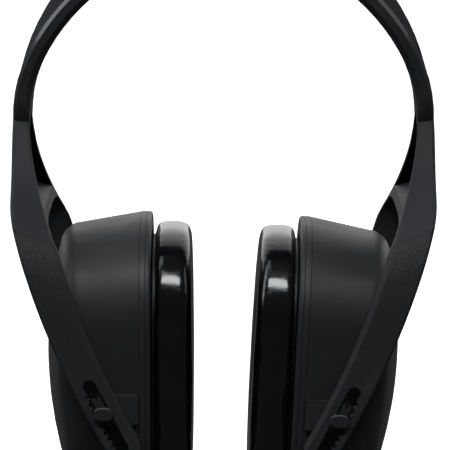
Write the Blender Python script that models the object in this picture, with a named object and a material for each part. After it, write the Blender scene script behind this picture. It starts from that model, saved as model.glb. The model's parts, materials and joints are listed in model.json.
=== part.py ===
"""Over-the-head hearing protection earmuffs: forked moulded headband and two sliding, tilting cups.

Units below are millimetres and degrees; every solid is turned into metres at the end.
X runs across the head, -Y is the front, +Z is up, and Z = 0 is the lowest point of the cups.
"""

import math

import bmesh
import bpy
from mathutils import Matrix, Vector

MM = 0.001
GAP = 0.3

# Heights are laid out from the eye line of the headset, and this lift puts the cups on Z = 0.
LIFT = 95.9

# Headband, upper arch.
RIM_OUTER_RADIUS = 71.3
RIM_INNER_RADIUS = 65.7
RIM_CENTRE_Z = 27.4
CREST_RADIUS = 68.4
CREST_CENTRE_Z = 37.6
BAND_HALF_DEPTH_TOP = 17.0
BAND_HALF_DEPTH_TEMPLE = 12.5
SPINE_HALF_DEPTH = 6.5
SPINE_DRAFT = 0.9
SPINE_ROUND = 1.1
SIDE_OUTER_X = 69.65
SIDE_OUTER_LEAN = 0.02
SIDE_INNER_X = 64.4
EDGE_BLEND = 3.0
OUTER_BEVEL = 1.1
INNER_BEVEL_TOP = 2.0
INNER_BEVEL_TEMPLE = 0.4
INNER_BEVEL_ARM = 1.7
INNER_BEVEL_SHARE = 0.9
ARM_BEVEL_START_Z = 14.0
ARM_BEVEL_RUN = 20.0
LOW_ARCH_ANGLE = 9.0

# Headband, flare from the temple to the forked arms.
FLARE_TOP_Z = 38.0
FLARE_SLOPE = 0.48
FLARE_EASE = 8.0
FLARE_CURVE = 0.0102
SIDE_LEAN = 0.03
SIDE_CURVE = 0.0054
SIDE_CURVE_TOP_Z = 40.0
SLICE_LEAN = 5.2
SLICE_LEAN_TOP_Z = 27.4
ARM_JOIN_Z = -3.0
ARM_FACE_Y = 44.5
ARM_ROLL_TOP_Z = 1.0
ARM_ROLL_RUN = 15.0
ARM_ROLL_DEPTH = 3.1
ARM_THICKNESS = 4.0
ARM_HALF_WIDTH = 6.4
ARM_SLOPE = 0.524
ARM_CURVE = 0.0024
WEB_THICKNESS = 3.6
FLANGE_THICKNESS = 4.0
POCKET_TOP_Z = 37.0
POCKET_END_Z = 9.3
ARCH_Z = 6.4
ARCH_DROP = 2.4
ARCH_HALF_WIDTH = 36.0
ARCH_POWER = 0.25
POCKET_RAMP = 1.9
SIDE_STEP = 1.5
ARM_STEP = 5.5
ARM_SLICES = 14
ARM_ROLL_STEP = 2.0
ARM_ROLL_SLICES = 6
ARM_ROLL_END_Z = -14.6
ARCH_STEPS = 48
YOKE_HEIGHTS = (
    3.3, 1.9, 0.35, -0.9, -3.9, -6.9, -9.9, -14.1, -20.3, -40.3, -60.3, -84.8)
CUTTER_REACH = 62.0

# Height adjustment.
PIVOT_X = 38.75
PIVOT_Z = -54.7
SLOT_ANGLE = 27.0
SLOT_HALF_WIDTH = 2.15
SLOT_TOP = -12.2
SLOT_END = 15.2
NOTCH_PITCH = 2.6
NOTCH_DEPTH = 0.8
NOTCH_COUNT = 8
NOTCH_FIRST = -8.0
NOTCH_FOOT = 0.5
NOTCH_CREST = 1.5
NOTCH_END = 2.0
TIP_CENTRE = 13.6
TIP_CUTTER_HALF_WIDTH = 20.0
TIP_CUTTER_END = 60.0
RIGHT_ARM_DROP = 2.6
RIGHT_CUP_TILT = 3.0

# Studs, sliders and pivot plates.
SHANK_RADIUS = 1.8
SHANK_END_Y = 32.4
SHANK_BEVEL = 0.3
HEAD_HALF_WIDTH = 3.2
HEAD_HALF_HEIGHT = 2.3
HEAD_SQUARENESS = 0.72
HEAD_THICKNESS = 1.6
HEAD_BEVEL = 0.4
STUD_HOLE_RADIUS = 2.1
SLIDER_TOP = -5.6
SLIDER_HALF_WIDTH = 1.5
SLIDER_FLANGE_END = 3.5
SLIDER_FLANGE_HALF_WIDTH = 3.2
SLIDER_FLANGE_THICKNESS = 1.0
SLIDER_NOTCH_DEPTH = 1.5
SLIDER_NOTCH_HALF_WIDTH = 0.45
SLIDER_JOIN = 0.2
PLATE_INNER_X = -10.95
PLATE_OUTER_X = 6.0
PLATE_HALF_HEIGHT = 5.0
PLATE_FACE_Y = 38.9
PLATE_CORNER = 0.5

# Cups, measured from the tilt pivot; x grows outward from the head.
RIM_X = -11.15
CUP_CENTRE_Z = 9.3
CUP_HALF_WIDTH = 37.6
CUP_HALF_HEIGHT = 48.7
CUP_CORNER = 31.0
CUP_SIDE_DRAFT = 6.0
CUP_END_DRAFT = 10.0
CUP_WALL = 2.4
CUP_CORNER_TAPER = 0.12
CUP_EDGE_ROUND = 4.4
INNER_EDGE_ROUND = 2.8
WALL_STATIONS = (-3.0, 4.0)
FACE_SHARES = (0.85, 0.68, 0.5, 0.32, 0.14)
DOME_TOP_X = 19.9
EDGE_START_X = 10.0
DOME_PEAK_Z = 14.2
DOME_RADIUS_Z = 138.0
DOME_RADIUS_Y = 110.0
RING_PROUD = 0.1
RING_THICKNESS = 1.7
RING_ROUND = 0.15
RING_OPENING = (33.0, 44.0, 26.5)
BACK_PLATE_THICKNESS = 1.6
BACK_PLATE_ROUND = 1.0
BACK_PLATE_OPENING = (20.0, 30.0, 18.0)
CUSHION_PLATE_THICKNESS = 1.2
CUSHION_PLATE_SIZE = (31.6, 41.2, 25.0)
CUSHION_PLATE_OPENING = (18.5, 28.5, 16.5)
CUSHION_SIZE = (36.2, 46.0, 29.4)
CUSHION_OPENING = (17.0, 27.0, 15.0)
CUSHION_THICKNESS = 13.2
CUSHION_RECESS = 1.3
CUSHION_RECESS_SIZE = (31.9, 41.5, 25.3)
CUSHION_ROUND_FACE = 4.0
CUSHION_ROUND_BACK = 1.6
LINER_THICKNESS = 14.0
LINER_INNER_X = -4.35
LINER_SIZE = (28.0, 38.0, 22.0)
PLATE_EDGE_ROUND = 0.3

CORNER_STEPS = 11
SHORT_STEPS = 3
LONG_STEPS = 6
ROUND_STEPS = 28
HALF_PI = math.pi / 2


def smooth(value):
    """Ease a value between 0 and 1."""
    value = min(max(value, 0.0), 1.0)
    return value * value * (3.0 - 2.0 * value)


def smooth_min(first, second, blend):
    """Smaller of two lengths with a rounded changeover."""
    share = min(max(0.5 + 0.5 * (second - first) / blend, 0.0), 1.0)
    return second + (first - second) * share - blend * share * (1.0 - share)


def clear_scene():
    for item in list(bpy.data.objects):
        bpy.data.objects.remove(item, do_unlink=True)


def make_material(name, colour, roughness):
    material = bpy.data.materials.new(name)
    material.use_nodes = True
    shader = material.node_tree.nodes["Principled BSDF"]
    shader.inputs["Base Color"].default_value = (*colour, 1.0)
    shader.inputs["Roughness"].default_value = roughness
    return material


def finish_mesh(name, bm):
    """Turn a bmesh into a clean outward-facing mesh, still in millimetres."""
    bmesh.ops.remove_doubles(bm, verts=bm.verts, dist=0.0005)
    bmesh.ops.recalc_face_normals(bm, faces=bm.faces)
    mesh = bpy.data.meshes.new(name)
    bm.to_mesh(mesh)
    bm.free()
    mesh.update()
    return mesh


def add_object(name, bm, material=None, origin=(0.0, 0.0, 0.0)):
    """Link a solid built round its origin, given in millimetres."""
    item = bpy.data.objects.new(name, finish_mesh(name, bm))
    item.location = Vector(origin)
    bpy.context.collection.objects.link(item)
    if material:
        item.data.materials.append(material)
    return item


def apply_boolean(target, cutter, operation):
    """Combine two solids and remove the cutter."""
    cutter.hide_render = True
    cutter.display_type = 'WIRE'
    modifier = target.modifiers.new("cut", 'BOOLEAN')
    modifier.solver = 'EXACT'
    modifier.operation = operation
    modifier.object = cutter
    bpy.context.view_layer.update()
    bpy.context.view_layer.objects.active = target
    bpy.ops.object.modifier_apply(modifier=modifier.name)
    bpy.data.objects.remove(cutter, do_unlink=True)


def loft(sections):
    """Skin a list of closed sections with the same number of points and close both ends."""
    bm = bmesh.new()
    rings = []
    for section in sections:
        rings.append([bm.verts.new(point) for point in section])
    count = len(rings[0])
    for near, far in zip(rings, rings[1:]):
        for index in range(count):
            after = (index + 1) % count
            bm.faces.new((near[index], near[after], far[after], far[index]))
    bm.faces.new(list(reversed(rings[0])))
    bm.faces.new(rings[-1])
    return bm


def prism(outline, low, high, axes):
    """Extrude a closed outline; axes picks which coordinates the outline and the length use."""
    across, along, depth = axes
    sections = []
    for level in (low, high):
        ring = []
        for first, second in outline:
            point = [0.0, 0.0, 0.0]
            point[across] = first
            point[along] = second
            point[depth] = level
            ring.append(tuple(point))
        sections.append(ring)
    return loft(sections)


# ---------------------------------------------------------------- headband

def arm_centre_x(height):
    """Centre line of a forked arm, a shallow curve through the rest position of the stud."""
    drop = height - PIVOT_Z
    return PIVOT_X + ARM_SLOPE * drop - ARM_CURVE * drop * drop


def side_line_x(height):
    """Straight, slightly leaning outer line of the side."""
    return SIDE_OUTER_X - SIDE_OUTER_LEAN * max(SIDE_CURVE_TOP_Z - height, 0.0)


def side_outer_x(height):
    return smooth_min(side_line_x(height), arm_centre_x(height) + ARM_HALF_WIDTH, 0.5)


def side_inner_x(height):
    if height < ARM_JOIN_Z:
        return arm_centre_x(height) - ARM_HALF_WIDTH
    drop = SIDE_CURVE_TOP_Z - height
    return SIDE_INNER_X - SIDE_LEAN * drop - SIDE_CURVE * drop * drop


def half_depth(height):
    """Half of the front-to-back depth at one height: the flare, then the arms below a crease."""
    drop = max(FLARE_TOP_Z - height, 0.0)
    flared = BAND_HALF_DEPTH_TEMPLE + FLARE_CURVE * drop * drop
    flared += FLARE_SLOPE * drop * drop / (drop + FLARE_EASE)
    roll = max(height - ARM_ROLL_TOP_Z + ARM_ROLL_RUN, 0.0) / ARM_ROLL_RUN
    return min(flared, ARM_FACE_Y - ARM_ROLL_DEPTH * roll * roll)


def slice_lean(height):
    """How much higher the outer edge of a slice sits than its inner edge."""
    return SLICE_LEAN * smooth((SLICE_LEAN_TOP_Z - height) / SLICE_LEAN_TOP_Z)


def side_station(height):
    """Inner edge, outer edge, half depth, spine height and inner bevel of one side slice."""
    outer_z = height + slice_lean(height)
    inner = (side_inner_x(height), height)
    outer = (side_outer_x(outer_z), outer_z)
    bevel = INNER_BEVEL_TEMPLE
    run = smooth((ARM_BEVEL_START_Z - height) / ARM_BEVEL_RUN)
    bevel += (INNER_BEVEL_ARM - INNER_BEVEL_TEMPLE) * run
    return inner, outer, half_depth(height), 0.0, bevel


def arch_station(angle):
    """The same for a radial slice at an angle above horizontal on the right-hand side."""
    rise = math.sin(angle)
    reach = math.cos(angle)
    outer_radius = RIM_OUTER_RADIUS
    inner_radius = RIM_INNER_RADIUS
    if reach > 0.5:
        line_x = side_line_x(RIM_CENTRE_Z + outer_radius * rise)
        outer_radius = smooth_min(outer_radius, line_x / reach, EDGE_BLEND)
        height = RIM_CENTRE_Z + inner_radius * rise
        drop = SIDE_CURVE_TOP_Z - height
        line_x = SIDE_INNER_X - SIDE_LEAN * drop
        if drop > 0.0:
            line_x -= SIDE_CURVE * drop * drop
        inner_radius = smooth_min(inner_radius, line_x / reach, EDGE_BLEND)
    offset = CREST_CENTRE_Z - RIM_CENTRE_Z
    crest = math.sqrt(CREST_RADIUS ** 2 - (offset * reach) ** 2) + offset * rise
    spine = max(crest - outer_radius, 0.0)
    depth = BAND_HALF_DEPTH_TEMPLE
    if angle < math.radians(LOW_ARCH_ANGLE):
        depth = half_depth(RIM_CENTRE_Z + inner_radius * rise)
    depth += (BAND_HALF_DEPTH_TOP - BAND_HALF_DEPTH_TEMPLE) * smooth((rise - 0.15) / 0.6)
    bevel = INNER_BEVEL_TEMPLE
    bevel += (INNER_BEVEL_TOP - INNER_BEVEL_TEMPLE) * smooth((rise - 0.05) / 0.35)
    inner = (inner_radius * reach, RIM_CENTRE_Z + inner_radius * rise)
    outer = (outer_radius * reach, RIM_CENTRE_Z + outer_radius * rise)
    return inner, outer, depth, spine, bevel


def band_section(station, side):
    """Closed outline of one slice of the headband."""
    inner, outer, depth, spine, bevel = station
    start = Vector((inner[0], 0.0, inner[1]))
    across = Vector((outer[0], 0.0, outer[1])) - start
    thick = across.length
    across.normalize()
    foot = SPINE_HALF_DEPTH + SPINE_DRAFT
    crown = SPINE_HALF_DEPTH - SPINE_ROUND
    shoulder = max(spine - SPINE_ROUND, 0.0)
    front = [
        (0.0, -(depth - INNER_BEVEL_SHARE * bevel)),
        (bevel, -depth),
        (thick - OUTER_BEVEL, -depth),
        (thick, -(depth - OUTER_BEVEL)),
        (thick, -foot),
        (thick + shoulder, -SPINE_HALF_DEPTH),
        (thick + spine, -crown),
    ]
    rear = [(along, -level) for along, level in reversed(front)]
    ring = []
    for along, level in front + rear:
        point = start + across * along
        ring.append((side * point.x, level, point.z))
    return ring


def side_heights():
    """Heights of the slices from the temple to below the arm tips."""
    heights = []
    level = RIM_CENTRE_Z - 1.4
    while level > 0.0:
        heights.append(level)
        level -= SIDE_STEP
    heights += [-0.6, -1.8, ARM_JOIN_Z]
    heights += [ARM_JOIN_Z - ARM_ROLL_STEP * step for step in range(1, ARM_ROLL_SLICES)]
    heights += [ARM_ROLL_END_Z - ARM_STEP * step for step in range(ARM_SLICES)]
    return heights


def cutter_ring(height, half_width, inner_reach, outer_reach, side):
    """Four-point slice of a cutter that follows the slices of the side."""
    inner, outer, _, _, _ = side_station(height)
    start = Vector((inner[0], 0.0, inner[1]))
    across = Vector((outer[0], 0.0, outer[1])) - start
    thick = across.length
    across.normalize()
    near = start - across * inner_reach
    far = start + across * (thick + outer_reach)
    return [
        (side * near.x, -half_width, near.z),
        (side * far.x, -half_width, far.z),
        (side * far.x, half_width, far.z),
        (side * near.x, half_width, near.z),
    ]


def pocket_cutter(side):
    """Hollow on the head side of the flare, closed below by a rib."""
    rings = []
    steps = 10
    for step in range(steps + 1):
        height = POCKET_TOP_Z + (POCKET_END_Z - POCKET_TOP_Z) * step / steps
        width = half_depth(height) - FLANGE_THICKNESS
        web = WEB_THICKNESS + POCKET_RAMP * (1.0 - smooth(step / 4.0))
        rings.append(cutter_ring(height, width, 2.0, -web, side))
    return add_object("pocket_cutter", loft(rings))


def yoke_cutter(side):
    """Space between the front and rear arms, with an arched top."""
    rings = []
    fractions = (0.005, 0.02, 0.06, 0.14, 0.26, 0.42, 0.6, 0.8, 1.0)
    heights = [ARCH_Z - ARCH_DROP * fraction for fraction in fractions]
    heights += YOKE_HEIGHTS
    for height in heights:
        limit = half_depth(height) - ARM_THICKNESS
        share = min((ARCH_Z - height) / ARCH_DROP, 1.0)
        width = min(ARCH_HALF_WIDTH * share ** ARCH_POWER, limit) if share < 1.0 else limit
        rings.append(cutter_ring(height, width, 12.0, 12.0, side))
    return add_object("yoke_cutter", loft(rings))


def slot_point(along, across, side):
    """World X and Z of a point given along the slot (down) and across it (outward)."""
    angle = math.radians(SLOT_ANGLE)
    x = PIVOT_X - along * math.sin(angle) + across * math.cos(angle)
    z = PIVOT_Z - along * math.cos(angle) - across * math.sin(angle)
    return side * x, z


def slot_outline():
    """Slot with rounded ends and ratchet notches along its outer wall."""
    points = []
    top = SLOT_TOP + SLOT_HALF_WIDTH
    end = SLOT_END - SLOT_HALF_WIDTH
    steps = 8
    for step in range(steps + 1):
        angle = math.pi * step / steps
        shift = SLOT_HALF_WIDTH * math.sin(angle)
        points.append((top - shift, -SLOT_HALF_WIDTH * math.cos(angle)))
    for index in range(NOTCH_COUNT):
        start = NOTCH_FIRST + index * NOTCH_PITCH
        points.append((start, SLOT_HALF_WIDTH))
        points.append((start + NOTCH_FOOT, SLOT_HALF_WIDTH + NOTCH_DEPTH))
        points.append((start + NOTCH_CREST, SLOT_HALF_WIDTH + NOTCH_DEPTH))
        points.append((start + NOTCH_END, SLOT_HALF_WIDTH))
    for step in range(steps + 1):
        angle = math.pi * step / steps
        shift = SLOT_HALF_WIDTH * math.sin(angle)
        points.append((end + shift, SLOT_HALF_WIDTH * math.cos(angle)))
    return points


def arm_drop(side):
    """How much further down its arms the slots, the tips and the cup of one side lie."""
    return RIGHT_ARM_DROP if side > 0 else 0.0


def slot_cutter(side):
    drop = arm_drop(side)
    outline = [slot_point(along + drop, across, side) for along, across in slot_outline()]
    return add_object("slot_cutter", prism(outline, -CUTTER_REACH, CUTTER_REACH, (0, 2, 1)))


def tip_cutter(side):
    """Everything beyond the rounded ends of both arms of one side."""
    radius = ARM_HALF_WIDTH * math.cos(math.radians(SLOT_ANGLE))
    centre = TIP_CENTRE + arm_drop(side)
    outline = []
    steps = 14
    for step in range(steps + 1):
        angle = math.pi * step / steps
        along = centre + radius * math.sin(angle)
        outline.append(slot_point(along, -radius * math.cos(angle), side))
    for along, across in ((centre, TIP_CUTTER_HALF_WIDTH), (TIP_CUTTER_END, TIP_CUTTER_HALF_WIDTH),
                          (TIP_CUTTER_END, -TIP_CUTTER_HALF_WIDTH),
                          (centre, -TIP_CUTTER_HALF_WIDTH)):
        outline.append(slot_point(along, across, side))
    return add_object("tip_cutter", prism(outline, -CUTTER_REACH, CUTTER_REACH, (0, 2, 1)))


def build_headband(material):
    sections = []
    right = [side_station(height) for height in side_heights()]
    for station in reversed(right):
        sections.append(band_section(station, 1.0))
    for step in range(1, ARCH_STEPS):
        angle = math.pi * step / ARCH_STEPS
        side = 1.0 if angle <= HALF_PI else -1.0
        sections.append(band_section(arch_station(min(angle, math.pi - angle)), side))
    for station in right:
        sections.append(band_section(station, -1.0))
    band = add_object("headband", loft(sections), material)
    for side in (1.0, -1.0):
        apply_boolean(band, yoke_cutter(side), 'DIFFERENCE')
        apply_boolean(band, pocket_cutter(side), 'DIFFERENCE')
        apply_boolean(band, tip_cutter(side), 'DIFFERENCE')
        apply_boolean(band, slot_cutter(side), 'DIFFERENCE')
    lift_object(band)
    return band


def lift_object(item):
    """Raise a finished mesh onto the ground plane of the set."""
    item.data.transform(Matrix.Translation((0.0, 0.0, LIFT)))


def convert_to_metres():
    """Scale every finished solid from millimetres to metres about the shared origin."""
    for item in bpy.data.objects:
        item.data.transform(Matrix.Scale(MM, 4))
        item.location = item.location * MM


# ---------------------------------------------------------------- cups

def rounded_outline(half_width, half_height, corner):
    """Rounded rectangle in Y and Z, centred on zero, evenly stepped along each part."""
    corners = []
    for quarter in range(4):
        sign_y = 1.0 if quarter in (0, 3) else -1.0
        sign_z = 1.0 if quarter in (0, 1) else -1.0
        centre_y = sign_y * (half_width - corner)
        centre_z = sign_z * (half_height - corner)
        arc = []
        for step in range(CORNER_STEPS):
            angle = HALF_PI * (quarter + step / (CORNER_STEPS - 1))
            arc.append((centre_y + corner * math.cos(angle), centre_z + corner * math.sin(angle)))
        corners.append(arc)
    points = []
    for quarter, arc in enumerate(corners):
        points += arc
        start = arc[-1]
        end = corners[(quarter + 1) % 4][0]
        steps = SHORT_STEPS if quarter in (0, 2) else LONG_STEPS
        for step in range(1, steps):
            share = step / steps
            points.append((start[0] + (end[0] - start[0]) * share,
                           start[1] + (end[1] - start[1]) * share))
    return points


def place_ring(outline, x):
    """Put an outline at a distance x from the pivot, on the cup's own centre."""
    return [(x, y, z + CUP_CENTRE_Z) for y, z in outline]


def dome_x(y, z, inset):
    """Outer face of the cup at one point, pushed in by a wall thickness."""
    rise = z - DOME_PEAK_Z
    bulge = rise * rise / (2.0 * DOME_RADIUS_Z) + y * y / (2.0 * DOME_RADIUS_Y)
    return DOME_TOP_X - bulge - inset


def wall_outline(x, inset):
    """Drafted side wall of the cup at a distance from the pivot."""
    run = x - RIM_X
    half_width = CUP_HALF_WIDTH - run * math.tan(math.radians(CUP_SIDE_DRAFT)) - inset
    half_height = CUP_HALF_HEIGHT - run * math.tan(math.radians(CUP_END_DRAFT)) - inset
    corner = CUP_CORNER - CUP_CORNER_TAPER * run - inset
    return half_width, half_height, corner


def edge_ring(inset, edge_round, angle):
    """One ring of the rounded edge between the drafted wall and the domed face."""
    base = rounded_outline(*wall_outline(EDGE_START_X, inset))
    offset = edge_round * (1.0 - math.cos(angle))
    drop = edge_round * (1.0 - math.sin(angle))
    ring = []
    for index, (base_y, base_z) in enumerate(base):
        start_x = dome_x(base_y, base_z + CUP_CENTRE_Z, inset) - edge_round
        half_width, half_height, corner = wall_outline(start_x, inset)
        outline = rounded_outline(half_width - offset, half_height - offset, corner - offset)
        y, z = outline[index]
        height = z + CUP_CENTRE_Z
        ring.append((dome_x(y, height, inset) - drop, y, height))
    return ring


def cup_surface(inset, edge_round):
    """Rings of one skin of the cup from its rim to the middle of its outer face."""
    rings = []
    for x in (RIM_X, *WALL_STATIONS):
        rings.append(place_ring(rounded_outline(*wall_outline(x, inset)), x))
    steps = 5
    for step in range(steps + 1):
        rings.append(edge_ring(inset, edge_round, HALF_PI * step / steps))
    edge = rings[-1]
    for share in FACE_SHARES:
        ring = []
        for _, y, height in edge:
            near_z = (height - CUP_CENTRE_Z) * share + CUP_CENTRE_Z
            ring.append((dome_x(y * share, near_z, inset), y * share, near_z))
        rings.append(ring)
    return rings, (dome_x(0.0, CUP_CENTRE_Z, inset), 0.0, CUP_CENTRE_Z)


def build_shell():
    """Hollow cup, open toward the head."""
    bm = bmesh.new()
    skins = []
    for inset, edge_round in ((0.0, CUP_EDGE_ROUND), (CUP_WALL, INNER_EDGE_ROUND)):
        rings, centre = cup_surface(inset, edge_round)
        loops = [[bm.verts.new(point) for point in ring] for ring in rings]
        count = len(loops[0])
        for near, far in zip(loops, loops[1:]):
            for index in range(count):
                after = (index + 1) % count
                bm.faces.new((near[index], near[after], far[after], far[index]))
        tip = bm.verts.new(centre)
        for index in range(count):
            bm.faces.new((loops[-1][index], loops[-1][(index + 1) % count], tip))
        skins.append(loops[0])
    outer, inner = skins
    for index in range(len(outer)):
        after = (index + 1) % len(outer)
        bm.faces.new((outer[index], inner[index], inner[after], outer[after]))
    return bm


def build_frame(outer, opening, x_head, thickness, round_head, round_back, recess=None):
    """Flat ring with rounded outer edges; x_head is the side facing the head.

    A recess is the size and depth of a step in its back that another ring lies in.
    """
    bm = bmesh.new()
    profile = []
    steps = 4
    for step in range(steps + 1):
        angle = HALF_PI * step / steps
        profile.append((round_head * (1.0 - math.sin(angle)),
                        x_head + round_head * (1.0 - math.cos(angle))))
    for step in range(steps + 1):
        angle = HALF_PI * step / steps
        profile.append((round_back * (1.0 - math.cos(angle)),
                        x_head + thickness - round_back * (1.0 - math.sin(angle))))
    loops = []
    for offset, x in profile:
        ring = rounded_outline(outer[0] - offset, outer[1] - offset, outer[2] - offset)
        loops.append([bm.verts.new(point) for point in place_ring(ring, x)])
    steps = [(opening, x_head + thickness), (opening, x_head)]
    if recess:
        size, depth = recess
        floor_x = x_head + thickness - depth
        steps = [(size, x_head + thickness), (size, floor_x), (opening, floor_x),
                 (opening, x_head)]
    for size, x in steps:
        loops.append([bm.verts.new(point) for point in place_ring(rounded_outline(*size), x)])
    count = len(loops[0])
    for near, far in zip(loops, loops[1:] + loops[:1]):
        for index in range(count):
            after = (index + 1) % count
            bm.faces.new((near[index], near[after], far[after], far[index]))
    return bm


def build_liner():
    """Absorbing foam pad that lies inside the cup."""
    levels = ((1.0, 0.0), (0.0, 1.0), (0.0, LINER_THICKNESS - 3.0), (2.0, LINER_THICKNESS))
    rings = []
    for inset, level in levels:
        outline = rounded_outline(*(value - inset for value in LINER_SIZE))
        rings.append(place_ring(outline, LINER_INNER_X + level))
    return loft(rings)


def cylinder(radius, low, high):
    """Round bar along Y."""
    outline = []
    for step in range(ROUND_STEPS):
        angle = 2.0 * math.pi * step / ROUND_STEPS
        outline.append((radius * math.cos(angle), radius * math.sin(angle)))
    return prism(outline, low, high, (0, 2, 1))


def build_stud(facing):
    """Headed stud; facing is -1 for the front arm and +1 for the rear arm."""
    base = ARM_FACE_Y + GAP
    top = base + HEAD_THICKNESS
    profile = (
        (SHANK_RADIUS - SHANK_BEVEL, SHANK_RADIUS - SHANK_BEVEL, SHANK_END_Y),
        (SHANK_RADIUS, SHANK_RADIUS, SHANK_END_Y + SHANK_BEVEL),
        (SHANK_RADIUS, SHANK_RADIUS, base),
        (HEAD_HALF_WIDTH, HEAD_HALF_HEIGHT, base),
        (HEAD_HALF_WIDTH, HEAD_HALF_HEIGHT, top - HEAD_BEVEL),
        (HEAD_HALF_WIDTH - HEAD_BEVEL, HEAD_HALF_HEIGHT - HEAD_BEVEL, top),
    )
    rings = []
    for radius_x, radius_z, level in profile:
        power = HEAD_SQUARENESS if radius_x > SHANK_RADIUS else 1.0
        ring = []
        for step in range(ROUND_STEPS):
            angle = 2.0 * math.pi * step / ROUND_STEPS
            reach = math.copysign(abs(math.cos(angle)) ** power, math.cos(angle))
            rise = math.copysign(abs(math.sin(angle)) ** power, math.sin(angle))
            ring.append((radius_x * reach, facing * level, radius_z * rise))
        rings.append(ring)
    return loft(rings)


def build_plate(facing):
    """Pivot plate on the cup's flank, with its back parallel to the drafted flank."""
    slope = math.tan(math.radians(CUP_SIDE_DRAFT))
    corner = PLATE_CORNER
    outline = []
    for sign_x, sign_z in ((1, 1), (-1, 1), (-1, -1), (1, -1)):
        x = PLATE_OUTER_X if sign_x > 0 else PLATE_INNER_X
        z = sign_z * PLATE_HALF_HEIGHT
        first = (x - sign_x * corner, z)
        second = (x, z - sign_z * corner)
        outline += [second, first] if sign_x * sign_z > 0 else [first, second]
    rings = []
    for face in (False, True):
        ring = []
        for x, z in outline:
            level = PLATE_FACE_Y
            if not face:
                level = CUP_HALF_WIDTH - (x - RIM_X) * slope + GAP
            ring.append((x, facing * level, z))
        rings.append(ring)
    return loft(rings)


def slider_point(along, across):
    """Slot direction turned into X and Z round the stud, for the right-hand side."""
    angle = math.radians(SLOT_ANGLE)
    x = -along * math.sin(angle) + across * math.cos(angle)
    z = -along * math.cos(angle) - across * math.sin(angle)
    return x, z


def build_slider(name, facing, side, material, origin):
    """Sprung pawl in the slot with a thin flange behind the arm."""
    inner = ARM_FACE_Y - ARM_THICKNESS - GAP - SLIDER_FLANGE_THICKNESS
    outer = inner + SLIDER_FLANGE_THICKNESS
    cradle = STUD_HOLE_RADIUS
    block = [(SLIDER_TOP, -SLIDER_HALF_WIDTH), (SLIDER_TOP, -SLIDER_NOTCH_HALF_WIDTH)]
    block += [(SLIDER_TOP + SLIDER_NOTCH_DEPTH, 0.0), (SLIDER_TOP, SLIDER_NOTCH_HALF_WIDTH)]
    block += [(SLIDER_TOP, SLIDER_HALF_WIDTH)]
    steps = 8
    limit = math.asin(SLIDER_HALF_WIDTH / cradle)
    for step in range(steps + 1):
        angle = limit - 2.0 * limit * step / steps
        block.append((-cradle * math.cos(angle), cradle * math.sin(angle)))
    flange = [(SLIDER_TOP, -SLIDER_FLANGE_HALF_WIDTH), (SLIDER_TOP, SLIDER_FLANGE_HALF_WIDTH),
              (SLIDER_FLANGE_END, SLIDER_FLANGE_HALF_WIDTH),
              (SLIDER_FLANGE_END, -SLIDER_FLANGE_HALF_WIDTH)]
    solids = []
    face = ARM_FACE_Y - SLIDER_JOIN
    for outline, low, high in ((flange, inner, outer), (block, outer - SLIDER_JOIN, face)):
        points = []
        for along, across in outline:
            x, z = slider_point(along, across)
            points.append((side * x, z))
        levels = sorted((facing * low, facing * high))
        solids.append(prism(points, levels[0], levels[1], (0, 2, 1)))
    body = add_object(name, solids[0], material)
    hole_levels = sorted((facing * (inner - 2.0), facing * (outer + 0.6)))
    hole = cylinder(STUD_HOLE_RADIUS, *hole_levels)
    apply_boolean(body, add_object("hole_cutter", hole), 'DIFFERENCE')
    apply_boolean(body, add_object("block_part", solids[1]), 'UNION')
    body.location = Vector(origin)
    return body


def place_cup_part(name, bm, side, tilt, material, origin):
    """Mirror a cup piece to its side, tilt it about the stud axis and set its origin there."""
    if side < 0:
        bmesh.ops.scale(bm, vec=(-1.0, 1.0, 1.0), verts=bm.verts)
        bmesh.ops.reverse_faces(bm, faces=bm.faces)
    turn = Matrix.Rotation(math.radians(side * tilt), 4, 'Y')
    bmesh.ops.transform(bm, matrix=turn, verts=bm.verts)
    return add_object(name, bm, material, origin)


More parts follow.
